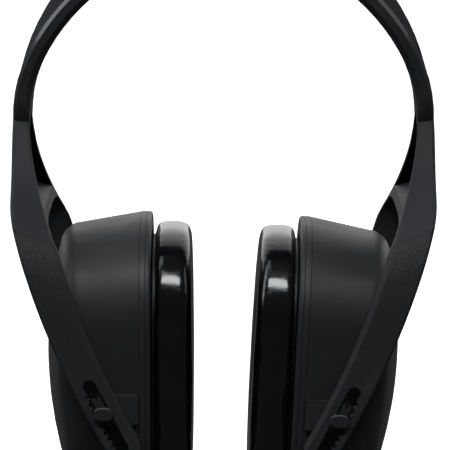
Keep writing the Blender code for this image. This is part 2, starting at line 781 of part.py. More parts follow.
def build_side(label, side, tilt, paints):
    """All pieces that hang on one pair of arms."""
    x, z = slot_point(arm_drop(side), 0.0, side)
    origin = (x, 0.0, z + LIFT)
    size = (CUP_HALF_WIDTH + RING_PROUD, CUP_HALF_HEIGHT + RING_PROUD, CUP_CORNER + RING_PROUD)
    ring_x = RIM_X - GAP - RING_THICKNESS
    back_x = ring_x - GAP - BACK_PLATE_THICKNESS
    carrier_x = back_x - GAP - CUSHION_PLATE_THICKNESS
    cushion_x = back_x - GAP - CUSHION_THICKNESS
    recess = (CUSHION_RECESS_SIZE, CUSHION_RECESS + GAP)
    shell = place_cup_part(label + "_cup_shell", build_shell(), side, tilt, paints["shell"], origin)
    bore = add_object("bore_cutter", cylinder(STUD_HOLE_RADIUS, -CUTTER_REACH, CUTTER_REACH))
    bore.location = Vector(origin)
    apply_boolean(shell, bore, 'DIFFERENCE')
    frames = (
        ("_rim_ring", size, RING_OPENING, ring_x, RING_THICKNESS, RING_ROUND, RING_ROUND,
         None, "shell"),
        ("_back_plate", size, BACK_PLATE_OPENING, back_x, BACK_PLATE_THICKNESS,
         BACK_PLATE_ROUND, RING_ROUND, None, "shell"),
        ("_cushion_plate", CUSHION_PLATE_SIZE, CUSHION_PLATE_OPENING, carrier_x,
         CUSHION_PLATE_THICKNESS, PLATE_EDGE_ROUND, PLATE_EDGE_ROUND, None, "carrier"),
        ("_cushion", CUSHION_SIZE, CUSHION_OPENING, cushion_x, CUSHION_THICKNESS,
         CUSHION_ROUND_FACE, CUSHION_ROUND_BACK, recess, "cushion"),
    )
    for suffix, outer, opening, x_head, thickness, round_head, round_back, step, paint in frames:
        bm = build_frame(outer, opening, x_head, thickness, round_head, round_back, step)
        place_cup_part(label + suffix, bm, side, tilt, paints[paint], origin)
    place_cup_part(label + "_foam_liner", build_liner(), side, tilt, paints["foam"], origin)
    for place, facing in (("front", -1.0), ("rear", 1.0)):
        stem = label + "_" + place
        place_cup_part(stem + "_stud", build_stud(facing), side, tilt, paints["stud"], origin)
        plate = place_cup_part(stem + "_pivot_plate", build_plate(facing), side, tilt,
                               paints["plate"], origin)
        levels = sorted((facing * 30.0, facing * 44.0))
        hole = add_object("hole_cutter", cylinder(STUD_HOLE_RADIUS, *levels))
        hole.location = Vector(origin)
        apply_boolean(plate, hole, 'DIFFERENCE')
        build_slider(stem + "_slider", facing, side, paints["slider"], origin)


def main():
    clear_scene()
    paints = {
        "band": make_material("band_plastic", (0.020, 0.020, 0.022), 0.42),
        "shell": make_material("cup_plastic", (0.022, 0.022, 0.023), 0.45),
        "plate": make_material("plate_plastic", (0.024, 0.024, 0.025), 0.5),
        "carrier": make_material("carrier_plastic", (0.012, 0.012, 0.012), 0.55),
        "stud": make_material("stud_plastic", (0.03, 0.03, 0.032), 0.35),
        "slider": make_material("slider_plastic", (0.016, 0.016, 0.017), 0.4),
        "cushion": make_material("cushion_vinyl", (0.008, 0.008, 0.009), 0.18),
        "foam": make_material("liner_foam", (0.05, 0.05, 0.052), 0.95),
    }
    build_headband(paints["band"])
    build_side("left", -1.0, 0.0, paints)
    build_side("right", 1.0, RIGHT_CUP_TILT, paints)
    convert_to_metres()


main()
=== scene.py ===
"""Looks of a pair of over-the-head hearing protection earmuffs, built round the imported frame.

Every length is in metres in the shared frame: X across the head, -Y the front, Z up from the
lowest point of the cups.
"""

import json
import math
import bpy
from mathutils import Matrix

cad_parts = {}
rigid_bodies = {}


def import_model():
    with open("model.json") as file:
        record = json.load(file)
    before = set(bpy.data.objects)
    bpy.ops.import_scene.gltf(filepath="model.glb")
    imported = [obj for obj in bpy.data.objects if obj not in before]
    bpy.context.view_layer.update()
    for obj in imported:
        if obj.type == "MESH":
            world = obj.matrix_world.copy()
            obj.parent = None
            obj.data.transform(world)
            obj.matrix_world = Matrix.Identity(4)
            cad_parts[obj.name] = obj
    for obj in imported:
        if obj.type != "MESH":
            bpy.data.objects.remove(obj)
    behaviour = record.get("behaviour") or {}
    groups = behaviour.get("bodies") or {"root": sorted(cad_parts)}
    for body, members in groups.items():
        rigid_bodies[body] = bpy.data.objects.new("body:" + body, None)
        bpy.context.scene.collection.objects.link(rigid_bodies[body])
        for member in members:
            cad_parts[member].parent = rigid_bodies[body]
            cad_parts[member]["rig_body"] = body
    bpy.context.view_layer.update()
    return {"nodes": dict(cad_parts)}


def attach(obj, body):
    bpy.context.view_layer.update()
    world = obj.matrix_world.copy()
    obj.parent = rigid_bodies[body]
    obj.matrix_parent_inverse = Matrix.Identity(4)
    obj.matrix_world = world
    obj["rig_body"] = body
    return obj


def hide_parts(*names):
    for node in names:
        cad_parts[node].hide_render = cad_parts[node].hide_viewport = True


bl_info = {
    "name": "Hearing Protection Earmuffs",
    "version": (1, 0, 0),
    "blender": (4, 5, 0),
    "location": "3D View > Sidebar > Earmuffs",
    "description": "Builds the visible pieces, finishes and studio of a pair of earmuffs",
    "category": "Add Mesh",
}

import bmesh
import bpy
from mathutils import Vector

MM = 0.001
SIDES = ("left", "right")
PLACES = ("front", "rear")

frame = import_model()

# Edges that turn by more than these angles, in degrees, are rounded and shaded sharp.
BAND_EDGE_ANGLE = 28.0
FITTING_EDGE_ANGLE = 30.0
CUP_EDGE_ANGLE = 35.0
EDGE_SEGMENTS = 2
# Faces that lie within this angle, in degrees, are merged into one flat face.
FLAT_ANGLE = 0.6
MERGE_DISTANCE = 0.002 * MM

FITTING_EDGE = 0.18 * MM
CARRIER_EDGE = 0.15 * MM
LINER_EDGE = 0.8 * MM

# Cloth steps and stiffness of the cushion skin, and how full the cushions are.
INFLATE_FRAMES = 20
SKIN_STIFFNESS = 12.0
SKIN_BENDING = 0.4
SMOOTH_FACTOR = 0.5


# ---------------------------------------------------------------- settings

class EarmuffBandSettings(bpy.types.PropertyGroup):
    """Sizes and finish of the headband"""
    edge_round: bpy.props.FloatProperty(
        name="Edge rounding", description="Radius of the moulded edges of the headband",
        default=0.35 * MM, unit='LENGTH')
    colour: bpy.props.FloatVectorProperty(
        name="Band colour", description="Base colour of the headband moulding",
        default=(0.0235, 0.0238, 0.0265), size=3, subtype='COLOR')
    roughness: bpy.props.FloatProperty(
        name="Band roughness", description="Middle roughness of the headband",
        default=0.60, subtype='FACTOR')
    grain: bpy.props.FloatProperty(
        name="Band grain", description="Size of the moulded grain", default=0.35 * MM,
        unit='LENGTH')


class EarmuffCupSettings(bpy.types.PropertyGroup):
    """Sizes and finish of the cup mouldings and their fittings"""
    edge_round: bpy.props.FloatProperty(
        name="Edge rounding", description="Radius of the small edges of the cup mouldings",
        default=0.10 * MM, unit='LENGTH')
    seam: bpy.props.FloatProperty(
        name="Seam closing", description="How far each face of a parting line is moved in",
        default=0.12 * MM, unit='LENGTH')
    colour: bpy.props.FloatVectorProperty(
        name="Cup colour", description="Base colour of the cup moulding",
        default=(0.0185, 0.0185, 0.0200), size=3, subtype='COLOR')
    roughness: bpy.props.FloatProperty(
        name="Cup roughness", description="Middle roughness of the cups",
        default=0.50, subtype='FACTOR')
    grain: bpy.props.FloatProperty(
        name="Cup grain", description="Size of the moulded grain", default=0.28 * MM,
        unit='LENGTH')


class EarmuffCushionSettings(bpy.types.PropertyGroup):
    """Shape and finish of the ear cushions"""
    voxel: bpy.props.FloatProperty(
        name="Voxel", description="Voxel size of the cushion before it is inflated",
        default=1.3 * MM, unit='LENGTH')
    inset: bpy.props.FloatProperty(
        name="Inset", description="How much smaller than its space the cushion starts",
        default=0.45 * MM, unit='LENGTH')
    smoothing: bpy.props.IntProperty(
        name="Smoothing", description="Smoothing passes on the skin", default=10)
    swell: bpy.props.FloatProperty(
        name="Swell", description="Furthest that inflating may move the skin",
        default=1.0 * MM, unit='LENGTH')
    pressure: bpy.props.FloatProperty(
        name="Pressure", description="Inflating pressure of the cloth", default=4.0)
    colour: bpy.props.FloatVectorProperty(
        name="Vinyl colour", description="Base colour of the cushion skin",
        default=(0.0030, 0.0030, 0.0036), size=3, subtype='COLOR')
    roughness: bpy.props.FloatProperty(
        name="Vinyl roughness", description="Middle roughness of the cushion skin",
        default=0.13, subtype='FACTOR')


class EarmuffStageSettings(bpy.types.PropertyGroup):
    """Floor and camera"""
    floor_size: bpy.props.FloatProperty(
        name="Floor size", description="Length of a side of the floor", default=40.0,
        unit='LENGTH')
    floor_colour: bpy.props.FloatVectorProperty(
        name="Floor colour", description="Base colour of the floor",
        default=(0.82, 0.82, 0.82), size=3, subtype='COLOR')
    camera_elevation: bpy.props.FloatProperty(
        name="Camera elevation", description="Angle of the camera above the horizon",
        default=math.radians(9.0), subtype='ANGLE')
    camera_distance: bpy.props.FloatProperty(
        name="Camera distance", description="From the camera to the point it aims at",
        default=1.15, unit='LENGTH')
    aim_height: bpy.props.FloatProperty(
        name="Aim height", description="Height of the point that the camera aims at",
        default=0.0959, unit='LENGTH')
    lens: bpy.props.FloatProperty(
        name="Lens", description="Focal length of the camera in millimetres", default=276.0)


SETTINGS = {
    "earmuff_band": EarmuffBandSettings,
    "earmuff_cup": EarmuffCupSettings,
    "earmuff_cushion": EarmuffCushionSettings,
    "earmuff_stage": EarmuffStageSettings,
}


# ---------------------------------------------------------------- pattern values

# Noise patterns: scale per metre, detail, roughness.
CLOUD_NOISE = (38.0, 4.0, 0.55)
SMEAR_NOISE = (140.0, 5.0, 0.65)
DUST_PATCH_NOISE = (60.0, 2.0, 0.5)
VINYL_WAVE_NOISE = (90.0, 2.0, 0.45)
VINYL_WEAR_NOISE = (55.0, 4.0, 0.6)
FOAM_WARP_NOISE = (260.0, 2.0, 0.5)
# Detail and roughness of the grains whose scale is an input.
FINE_GRAIN = (3.0, 0.6)
COARSE_GRAIN = (2.0, 0.55)

# Pattern values at which each mask starts and is full.
PIT_LIMITS = (0.0, 0.8)
CLOUD_LIMITS = (0.38, 0.68)
SMEAR_LIMITS = (0.5, 0.74)
SPECK_LIMITS = (0.10, 0.05)
DUST_PATCH_LIMITS = (0.56, 0.70)
CREASE_LIMITS = (0.0, 0.12)
WEAR_LIMITS = (0.45, 0.72)
PORE_LIMITS = (0.25, 0.6)
PAINTED_GLINT_LIMITS = (0.40, 0.64)

# Shares of the patterns in a height, and what marks and wear add to the roughness.
GRAIN_SHARE = 0.55
PIT_SHARE = 0.45
CREASE_SHARE = 0.12
WARP_SHARE = 0.5
MARK_ROUGHNESS = 0.12
WEAR_ROUGHNESS = 0.07
DUST_SCALE = 900.0

# Distance of each moulded line from the centre of the arch, in millimetres.
ARCH_LINES = (66.9, 67.9, 68.9, 69.7)
# Edges of a line, in line widths from its middle.
LINE_LIMITS = (0.4, 1.2)
# Heights between which the lines fade in, and limits of the bright upper bevel.
LINE_FADE = (118.0 * MM, 140.0 * MM)
BEVEL_RADIUS = (69.9 * MM, 70.3 * MM)
BEVEL_DEPTH = (8.0 * MM, 8.6 * MM)
# Distances below the crease of the arms between which the coarse grain and its painted glint
# come and go.
ZONE_ARRIVES = (-1.0 * MM, 3.0 * MM)
ZONE_LEAVES = (2.0 * MM, 24.0 * MM)
ZONE_REST = 0.15
PAINTED_GLINT_LOW = 0.1
# Painted glint colour: mixed into the base colour in the coarse grain below the crease of the
# arms as a painted highlight.
PAINTED_GLINT_COLOUR = (0.052, 0.053, 0.056, 1.0)

# Sockets of a colour Mix node, which has one set of them for each data type.
MIX_FIRST = 6
MIX_SECOND = 7
MIX_RESULT = 2


# ---------------------------------------------------------------- shader node groups

def new_group(name, inputs, outputs):
    """Start a shader node group with named sockets and return it with its two end nodes."""
    group = bpy.data.node_groups.new(name, 'ShaderNodeTree')
    for label, kind, default in inputs:
        socket = group.interface.new_socket(name=label, in_out='INPUT', socket_type=kind)
        if default is not None:
            socket.default_value = default
    for label, kind in outputs:
        group.interface.new_socket(name=label, in_out='OUTPUT', socket_type=kind)
    return group, group.nodes.new('NodeGroupInput'), group.nodes.new('NodeGroupOutput')


def add_noise(tree, vector, scale, detail, rough):
    """Noise texture on a vector; scale is a socket or a number."""
    node = tree.nodes.new('ShaderNodeTexNoise')
    node.inputs["Detail"].default_value = detail
    node.inputs["Roughness"].default_value = rough
    tree.links.new(vector, node.inputs["Vector"])
    if isinstance(scale, (int, float)):
        node.inputs["Scale"].default_value = scale
    else:
        tree.links.new(scale, node.inputs["Scale"])
    return node.outputs["Fac"]


def add_math(tree, operation, first, second=None, clamp=False):
    """Math node whose operands are sockets or numbers."""
    node = tree.nodes.new('ShaderNodeMath')
    node.operation = operation
    node.use_clamp = clamp
    for index, value in enumerate((first, second)):
        if value is None:
            continue
        if isinstance(value, (int, float)):
            node.inputs[index].default_value = value
        else:
            tree.links.new(value, node.inputs[index])
    return node.outputs[0]


def add_range(tree, value, low, high, to_low, to_high, smooth=False):
    """Map Range node with number limits; the targets may be sockets."""
    node = tree.nodes.new('ShaderNodeMapRange')
    node.interpolation_type = 'SMOOTHSTEP' if smooth else 'LINEAR'
    tree.links.new(value, node.inputs["Value"])
    for label, number in (("From Min", low), ("From Max", high), ("To Min", to_low),
                          ("To Max", to_high)):
        if isinstance(number, (int, float)):
            node.inputs[label].default_value = number
        else:
            tree.links.new(number, node.inputs[label])
    return node.outputs["Result"]


def add_mix(tree, factor, first, second):
    """Colour mix of a socket with another socket or with one fixed colour."""
    node = tree.nodes.new('ShaderNodeMix')
    node.data_type = 'RGBA'
    tree.links.new(factor, node.inputs["Factor"])
    tree.links.new(first, node.inputs[MIX_FIRST])
    if isinstance(second, tuple):
        node.inputs[MIX_SECOND].default_value = second
    else:
        tree.links.new(second, node.inputs[MIX_SECOND])
    return node.outputs[MIX_RESULT]


def build_moulded_group():
    """Spark-eroded mould grain with soft handling marks: colour, roughness and height."""
    group, start, end = new_group(
        "moulded_plastic_surface",
        (("Vector", 'NodeSocketVector', None),
         ("Colour", 'NodeSocketColor', (0.02, 0.02, 0.02, 1.0)),
         ("Scuffed Colour", 'NodeSocketColor', (0.04, 0.04, 0.04, 1.0)),
         ("Roughness", 'NodeSocketFloat', 0.4),
         ("Roughness Spread", 'NodeSocketFloat', 0.1),
         ("Grain Scale", 'NodeSocketFloat', 3000.0),
         ("Marks", 'NodeSocketFloat', 0.3)),
        (("Colour", 'NodeSocketColor'), ("Roughness", 'NodeSocketFloat'),
         ("Height", 'NodeSocketFloat')))
    put = start.outputs
    grain = add_noise(group, put["Vector"], put["Grain Scale"], *FINE_GRAIN)
    cells = group.nodes.new('ShaderNodeTexVoronoi')
    cells.feature = 'SMOOTH_F1'
    group.links.new(put["Vector"], cells.inputs["Vector"])
    group.links.new(put["Grain Scale"], cells.inputs["Scale"])
    pits = add_range(group, cells.outputs["Distance"], *PIT_LIMITS, 0.0, 1.0)
    height = add_math(group, 'ADD', add_math(group, 'MULTIPLY', grain, GRAIN_SHARE),
                      add_math(group, 'MULTIPLY', pits, PIT_SHARE))
    cloud = add_noise(group, put["Vector"], *CLOUD_NOISE)
    smear = add_noise(group, put["Vector"], *SMEAR_NOISE)
    soft = add_range(group, cloud, *CLOUD_LIMITS, 0.0, 1.0, True)
    streak = add_range(group, smear, *SMEAR_LIMITS, 0.0, 1.0, True)
    marks = add_math(group, 'MULTIPLY', add_math(group, 'MULTIPLY', soft, streak),
                     put["Marks"])
    colour = add_mix(group, marks, put["Colour"], put["Scuffed Colour"])
    swing = add_math(group, 'SUBTRACT', add_math(group, 'ADD', soft, grain), 1.0)
    shift = add_math(group, 'MULTIPLY', swing, put["Roughness Spread"])
    rough = add_math(group, 'ADD', add_math(group, 'ADD', put["Roughness"], shift),
                     add_math(group, 'MULTIPLY', marks, MARK_ROUGHNESS), True)
    group.links.new(colour, end.inputs["Colour"])
    group.links.new(rough, end.inputs["Roughness"])
    group.links.new(height, end.inputs["Height"])
    return group


def build_dust_group():
    """Sparse pale specks that settle on dark plastic."""
    group, start, end = new_group(
        "settled_dust",
        (("Vector", 'NodeSocketVector', None),
         ("Colour", 'NodeSocketColor', (0.02, 0.02, 0.02, 1.0)),
         ("Dust Colour", 'NodeSocketColor', (0.16, 0.16, 0.165, 1.0)),
         ("Amount", 'NodeSocketFloat', 0.3)),
        (("Colour", 'NodeSocketColor'), ("Mask", 'NodeSocketFloat')))
    put = start.outputs
    cells = group.nodes.new('ShaderNodeTexVoronoi')
    cells.inputs["Scale"].default_value = DUST_SCALE
    group.links.new(put["Vector"], cells.inputs["Vector"])
    specks = add_range(group, cells.outputs["Distance"], *SPECK_LIMITS, 0.0, 1.0)
    patch = add_noise(group, put["Vector"], *DUST_PATCH_NOISE)
    where = add_range(group, patch, *DUST_PATCH_LIMITS, 0.0, 1.0, True)
    mask = add_math(group, 'MULTIPLY', add_math(group, 'MULTIPLY', specks, where),
                    put["Amount"], True)
    group.links.new(add_mix(group, mask, put["Colour"], put["Dust Colour"]),
                    end.inputs["Colour"])
    group.links.new(mask, end.inputs["Mask"])
    return group


def build_vinyl_group():
    """Thin smooth vinyl skin: faint leather cells and shallow stretch marks."""
    group, start, end = new_group(
        "soft_vinyl_surface",
        (("Vector", 'NodeSocketVector', None),
         ("Colour", 'NodeSocketColor', (0.01, 0.01, 0.01, 1.0)),
         ("Worn Colour", 'NodeSocketColor', (0.02, 0.02, 0.02, 1.0)),
         ("Roughness", 'NodeSocketFloat', 0.2),
         ("Cell Scale", 'NodeSocketFloat', 1100.0)),
        (("Colour", 'NodeSocketColor'), ("Roughness", 'NodeSocketFloat'),
         ("Height", 'NodeSocketFloat')))
    put = start.outputs
    cells = group.nodes.new('ShaderNodeTexVoronoi')
    cells.feature = 'DISTANCE_TO_EDGE'
    group.links.new(put["Vector"], cells.inputs["Vector"])
    group.links.new(put["Cell Scale"], cells.inputs["Scale"])
    crease = add_range(group, cells.outputs["Distance"], *CREASE_LIMITS, 0.0, 1.0, True)
    wave = add_noise(group, put["Vector"], *VINYL_WAVE_NOISE)
    height = add_math(group, 'ADD', add_math(group, 'MULTIPLY', crease, CREASE_SHARE), wave)
    cloud = add_noise(group, put["Vector"], *VINYL_WEAR_NOISE)
    worn = add_range(group, cloud, *WEAR_LIMITS, 0.0, 1.0, True)
    rough = add_math(group, 'ADD', put["Roughness"],
                     add_math(group, 'MULTIPLY', worn, WEAR_ROUGHNESS), True)
    group.links.new(add_mix(group, worn, put["Colour"], put["Worn Colour"]),
                    end.inputs["Colour"])
    group.links.new(rough, end.inputs["Roughness"])
    group.links.new(height, end.inputs["Height"])
    return group


def build_foam_group():
    """Open-cell foam: pale ribs, with the pores painted darker as shade in the holes; the pores
    are also bumps.
    """
    group, start, end = new_group(
        "open_cell_foam",
        (("Vector", 'NodeSocketVector', None),
         ("Rib Colour", 'NodeSocketColor', (0.05, 0.05, 0.052, 1.0)),
         ("Pore Shade Colour", 'NodeSocketColor', (0.008, 0.008, 0.009, 1.0)),
         ("Cell Scale", 'NodeSocketFloat', 700.0)),
        (("Colour", 'NodeSocketColor'), ("Height", 'NodeSocketFloat')))
    put = start.outputs
    warp = add_noise(group, put["Vector"], *FOAM_WARP_NOISE)
    cells = group.nodes.new('ShaderNodeTexVoronoi')
    cells.feature = 'F1'
    group.links.new(put["Vector"], cells.inputs["Vector"])
    group.links.new(put["Cell Scale"], cells.inputs["Scale"])
    pore = add_range(group, cells.outputs["Distance"], *PORE_LIMITS, 0.0, 1.0, True)
    height = add_math(group, 'ADD', pore, add_math(group, 'MULTIPLY', warp, WARP_SHARE))
    # Painted shade: the pores are coloured darker than the ribs.
    group.links.new(add_mix(group, pore, put["Pore Shade Colour"], put["Rib Colour"]),
                    end.inputs["Colour"])
    group.links.new(height, end.inputs["Height"])
    return group


def build_lines_group():
    """Masks of the fine lines along the arch and of its bright upper bevel."""
    group, start, end = new_group(
        "arch_lines",
        (("Vector", 'NodeSocketVector', None),
         ("Centre Height", 'NodeSocketFloat', 123.3 * MM),
         ("Line Width", 'NodeSocketFloat', 0.16 * MM)),
        (("Mask", 'NodeSocketFloat'), ("Edge", 'NodeSocketFloat')))
    put = start.outputs
    parts = group.nodes.new('ShaderNodeSeparateXYZ')
    group.links.new(put["Vector"], parts.inputs["Vector"])
    rise = add_math(group, 'SUBTRACT', parts.outputs["Z"], put["Centre Height"])
    square = add_math(group, 'ADD', add_math(group, 'POWER', parts.outputs["X"], 2.0),
                      add_math(group, 'POWER', rise, 2.0))
    radius = add_math(group, 'SQRT', square)
    total = None
    for line in ARCH_LINES:
        gap = add_math(group, 'ABSOLUTE', add_math(group, 'SUBTRACT', radius, line * MM))
        near = add_math(group, 'DIVIDE', gap, put["Line Width"])
        mask = add_range(group, near, *LINE_LIMITS, 1.0, 0.0, True)
        total = mask if total is None else add_math(group, 'ADD', total, mask)
    fade = add_range(group, parts.outputs["Z"], *LINE_FADE, 0.0, 1.0, True)
    group.links.new(add_math(group, 'MULTIPLY', total, fade), end.inputs["Mask"])
    rim = add_range(group, radius, *BEVEL_RADIUS, 0.0, 1.0, True)
    beside = add_range(group, add_math(group, 'ABSOLUTE', parts.outputs["Y"]), *BEVEL_DEPTH,
                       0.0, 1.0, True)
    edge = add_math(group, 'MULTIPLY', add_math(group, 'MULTIPLY', rim, beside), fade)
    group.links.new(edge, end.inputs["Edge"])
    return group


def build_grain_and_painted_glint_group():
    """Coarser grain that fades away below the crease of the arms, with the mask of a painted
    highlight: a light glint colour in its brighter specks.
    """
    group, start, end = new_group(
        "coarse_grain_and_painted_glint_zone",
        (("Vector", 'NodeSocketVector', None),
         ("Top", 'NodeSocketFloat', 95.9 * MM),
         ("Inner Edge", 'NodeSocketFloat', 54.6 * MM),
         ("Lean", 'NodeSocketFloat', 0.36),
         ("Grain Scale", 'NodeSocketFloat', 3200.0)),
        (("Height", 'NodeSocketFloat'), ("Mask", 'NodeSocketFloat'),
         ("Painted Glint", 'NodeSocketFloat')))
    put = start.outputs
    parts = group.nodes.new('ShaderNodeSeparateXYZ')
    group.links.new(put["Vector"], parts.inputs["Vector"])
    out = add_math(group, 'SUBTRACT', add_math(group, 'ABSOLUTE', parts.outputs["X"]),
                   put["Inner Edge"])
    crease = add_math(group, 'ADD', put["Top"], add_math(group, 'MULTIPLY', out, put["Lean"]))
    below = add_math(group, 'SUBTRACT', crease, parts.outputs["Z"])
    arrive = add_range(group, below, *ZONE_ARRIVES, 0.0, 1.0, True)
    leave = add_range(group, below, *ZONE_LEAVES, 1.0, ZONE_REST, True)
    fade = add_math(group, 'MULTIPLY', arrive, leave)
    grain = add_noise(group, put["Vector"], put["Grain Scale"], *COARSE_GRAIN)
    group.links.new(add_math(group, 'MULTIPLY', grain, fade), end.inputs["Height"])
    group.links.new(fade, end.inputs["Mask"])
    # Painted highlight: the brighter specks of the coarse grain get the light glint colour
    # painted in.
    group.links.new(add_range(group, grain, *PAINTED_GLINT_LIMITS, PAINTED_GLINT_LOW, 1.0, True),
                    end.inputs["Painted Glint"])
    return group


GROUP_BUILDERS = {
    "arch_lines": build_lines_group,
    "coarse_grain_and_painted_glint_zone": build_grain_and_painted_glint_group,
    "moulded_plastic_surface": build_moulded_group,
    "settled_dust": build_dust_group,
    "soft_vinyl_surface": build_vinyl_group,
    "open_cell_foam": build_foam_group,
}


def place_group(tree, name):
    """Put a shared node group in a material, building it the first time."""
    group = bpy.data.node_groups.get(name) or GROUP_BUILDERS[name]()
    node = tree.nodes.new('ShaderNodeGroup')
    node.node_tree = group
    return node


# ---------------------------------------------------------------- finishes

# How far each bump stands out, and how strongly it shows.
MOULD_GRAIN_STRENGTH = 0.6
LINE_DEPTH = 0.10 * MM
LINE_STRENGTH = 0.8
VINYL_DEPTH = 0.06 * MM
VINYL_STRENGTH = 0.5
FOAM_DEPTH = 0.5 * MM
FOAM_STRENGTH = 0.8
# Polish of the bevel of the arch.
BEVEL_COAT = 0.9
BEVEL_COAT_ROUGHNESS = 0.16
# Scuffs and worn skin are this many times lighter than the plastic and the vinyl.
SCUFF_GAIN = 2.0
WORN_GAIN = 1.6
ROUGHNESS_SPREAD = 0.08
DUST_AMOUNT = 0.25
FOAM_ROUGHNESS = 0.95


def rgba(colour, gain=1.0):
    """Colour with full alpha, made lighter by a gain."""
    return (colour[0] * gain, colour[1] * gain, colour[2] * gain, 1.0)


def start_material(name):
    """Empty node material with its shader, its object coordinates and a bump node."""
    material = bpy.data.materials.new(name)
    material.use_nodes = True
    tree = material.node_tree
    shader = tree.nodes["Principled BSDF"]
    coordinates = tree.nodes.new('ShaderNodeTexCoord').outputs["Object"]
    bump = tree.nodes.new('ShaderNodeBump')
    tree.links.new(bump.outputs["Normal"], shader.inputs["Normal"])
    return material, tree, shader, coordinates, bump


def moulded_plastic(name, colour, roughness, grain, depth=0.012 * MM, marks=0.35, shine=0.4):
    """Black moulded plastic with grain, handling marks and a little dust."""
    material, tree, shader, coordinates, bump = start_material(name)
    surface = place_group(tree, "moulded_plastic_surface")
    surface.inputs["Colour"].default_value = rgba(colour)
    surface.inputs["Scuffed Colour"].default_value = rgba(colour, SCUFF_GAIN)
    surface.inputs["Roughness"].default_value = roughness
    surface.inputs["Roughness Spread"].default_value = ROUGHNESS_SPREAD
    surface.inputs["Grain Scale"].default_value = 1.0 / grain
    surface.inputs["Marks"].default_value = marks
    specks = place_group(tree, "settled_dust")
    specks.inputs["Amount"].default_value = DUST_AMOUNT
    tree.links.new(coordinates, surface.inputs["Vector"])
    tree.links.new(coordinates, specks.inputs["Vector"])
    tree.links.new(surface.outputs["Colour"], specks.inputs["Colour"])
    tree.links.new(specks.outputs["Colour"], shader.inputs["Base Color"])
    tree.links.new(surface.outputs["Roughness"], shader.inputs["Roughness"])
    tree.links.new(surface.outputs["Height"], bump.inputs["Height"])
    shader.inputs["Specular IOR Level"].default_value = shine
    bump.inputs["Distance"].default_value = depth
    bump.inputs["Strength"].default_value = MOULD_GRAIN_STRENGTH
    return material


def add_moulded_lines(material):
    """Fine parallel lines along the arch, a coarser grain at the top of the arms, and a painted
    highlight there: a light glint colour mixed into the base colour.
    """
    tree = material.node_tree
    shader = tree.nodes["Principled BSDF"]
    bump = next(node for node in tree.nodes if node.type == 'BUMP')
    coordinates = next(node for node in tree.nodes if node.type == 'TEX_COORD')
    lines = place_group(tree, "arch_lines")
    tree.links.new(coordinates.outputs["Object"], lines.inputs["Vector"])
    zone = place_group(tree, "coarse_grain_and_painted_glint_zone")
    tree.links.new(coordinates.outputs["Object"], zone.inputs["Vector"])
    raised = tree.nodes.new('ShaderNodeBump')
    raised.inputs["Distance"].default_value = LINE_DEPTH
    raised.inputs["Strength"].default_value = LINE_STRENGTH
    height = add_math(tree, 'SUBTRACT', zone.outputs["Height"], lines.outputs["Mask"])
    tree.links.new(height, raised.inputs["Height"])
    tree.links.new(raised.outputs["Normal"], bump.inputs["Normal"])
    tree.links.new(add_math(tree, 'MULTIPLY', lines.outputs["Edge"], BEVEL_COAT),
                   shader.inputs["Coat Weight"])
    shader.inputs["Coat Roughness"].default_value = BEVEL_COAT_ROUGHNESS
    paint = shader.inputs["Base Color"].links[0].from_socket
    # Painted highlight: below the crease of the arms the base colour is mixed towards the light
    # glint colour.
    painted_glint_share = add_math(tree, 'MULTIPLY', zone.outputs["Mask"], zone.outputs["Painted Glint"])
    tree.links.new(add_mix(tree, painted_glint_share, paint, PAINTED_GLINT_COLOUR), shader.inputs["Base Color"])


def cushion_vinyl(settings):
    """Glossy black cushion skin."""
    material, tree, shader, coordinates, bump = start_material("cushion_skin")
    skin = place_group(tree, "soft_vinyl_surface")
    skin.inputs["Colour"].default_value = rgba(settings.colour)
    skin.inputs["Worn Colour"].default_value = rgba(settings.colour, WORN_GAIN)
    skin.inputs["Roughness"].default_value = settings.roughness
    tree.links.new(coordinates, skin.inputs["Vector"])
    tree.links.new(skin.outputs["Colour"], shader.inputs["Base Color"])
    tree.links.new(skin.outputs["Roughness"], shader.inputs["Roughness"])
    tree.links.new(skin.outputs["Height"], bump.inputs["Height"])
    bump.inputs["Distance"].default_value = VINYL_DEPTH
    bump.inputs["Strength"].default_value = VINYL_STRENGTH
    return material


def liner_foam():
    """Dark grey open-cell foam."""
    material, tree, shader, coordinates, bump = start_material("liner_foam_cells")
    cells = place_group(tree, "open_cell_foam")
    tree.links.new(coordinates, cells.inputs["Vector"])
    tree.links.new(cells.outputs["Colour"], shader.inputs["Base Color"])
    tree.links.new(cells.outputs["Height"], bump.inputs["Height"])
    shader.inputs["Roughness"].default_value = FOAM_ROUGHNESS
    bump.inputs["Distance"].default_value = FOAM_DEPTH
    bump.inputs["Strength"].default_value = FOAM_STRENGTH
    return material


# ---------------------------------------------------------------- shared modelling steps

def body_name(node):
    """Body that a CAD node rides on."""
    return frame["nodes"][node]["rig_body"]


def node_bmesh(node):
    """Merged copy of a CAD node as a bmesh with clean outward normals."""
    bm = bmesh.new()
    bm.from_mesh(frame["nodes"][node].data)
    bmesh.ops.remove_doubles(bm, verts=bm.verts, dist=MERGE_DISTANCE)
    bmesh.ops.recalc_face_normals(bm, faces=bm.faces)
    return bm


def finish_piece(name, bm, material, body):
    """Turn a bmesh into a smooth-shaded piece that rides on a body."""
    for face in bm.faces:
        face.smooth = True
    mesh = bpy.data.meshes.new(name)
    bm.to_mesh(mesh)
    bm.free()
    piece = bpy.data.objects.new(name, mesh)
    bpy.context.scene.collection.objects.link(piece)
    piece.data.materials.append(material)
    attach(piece, body)
    return piece


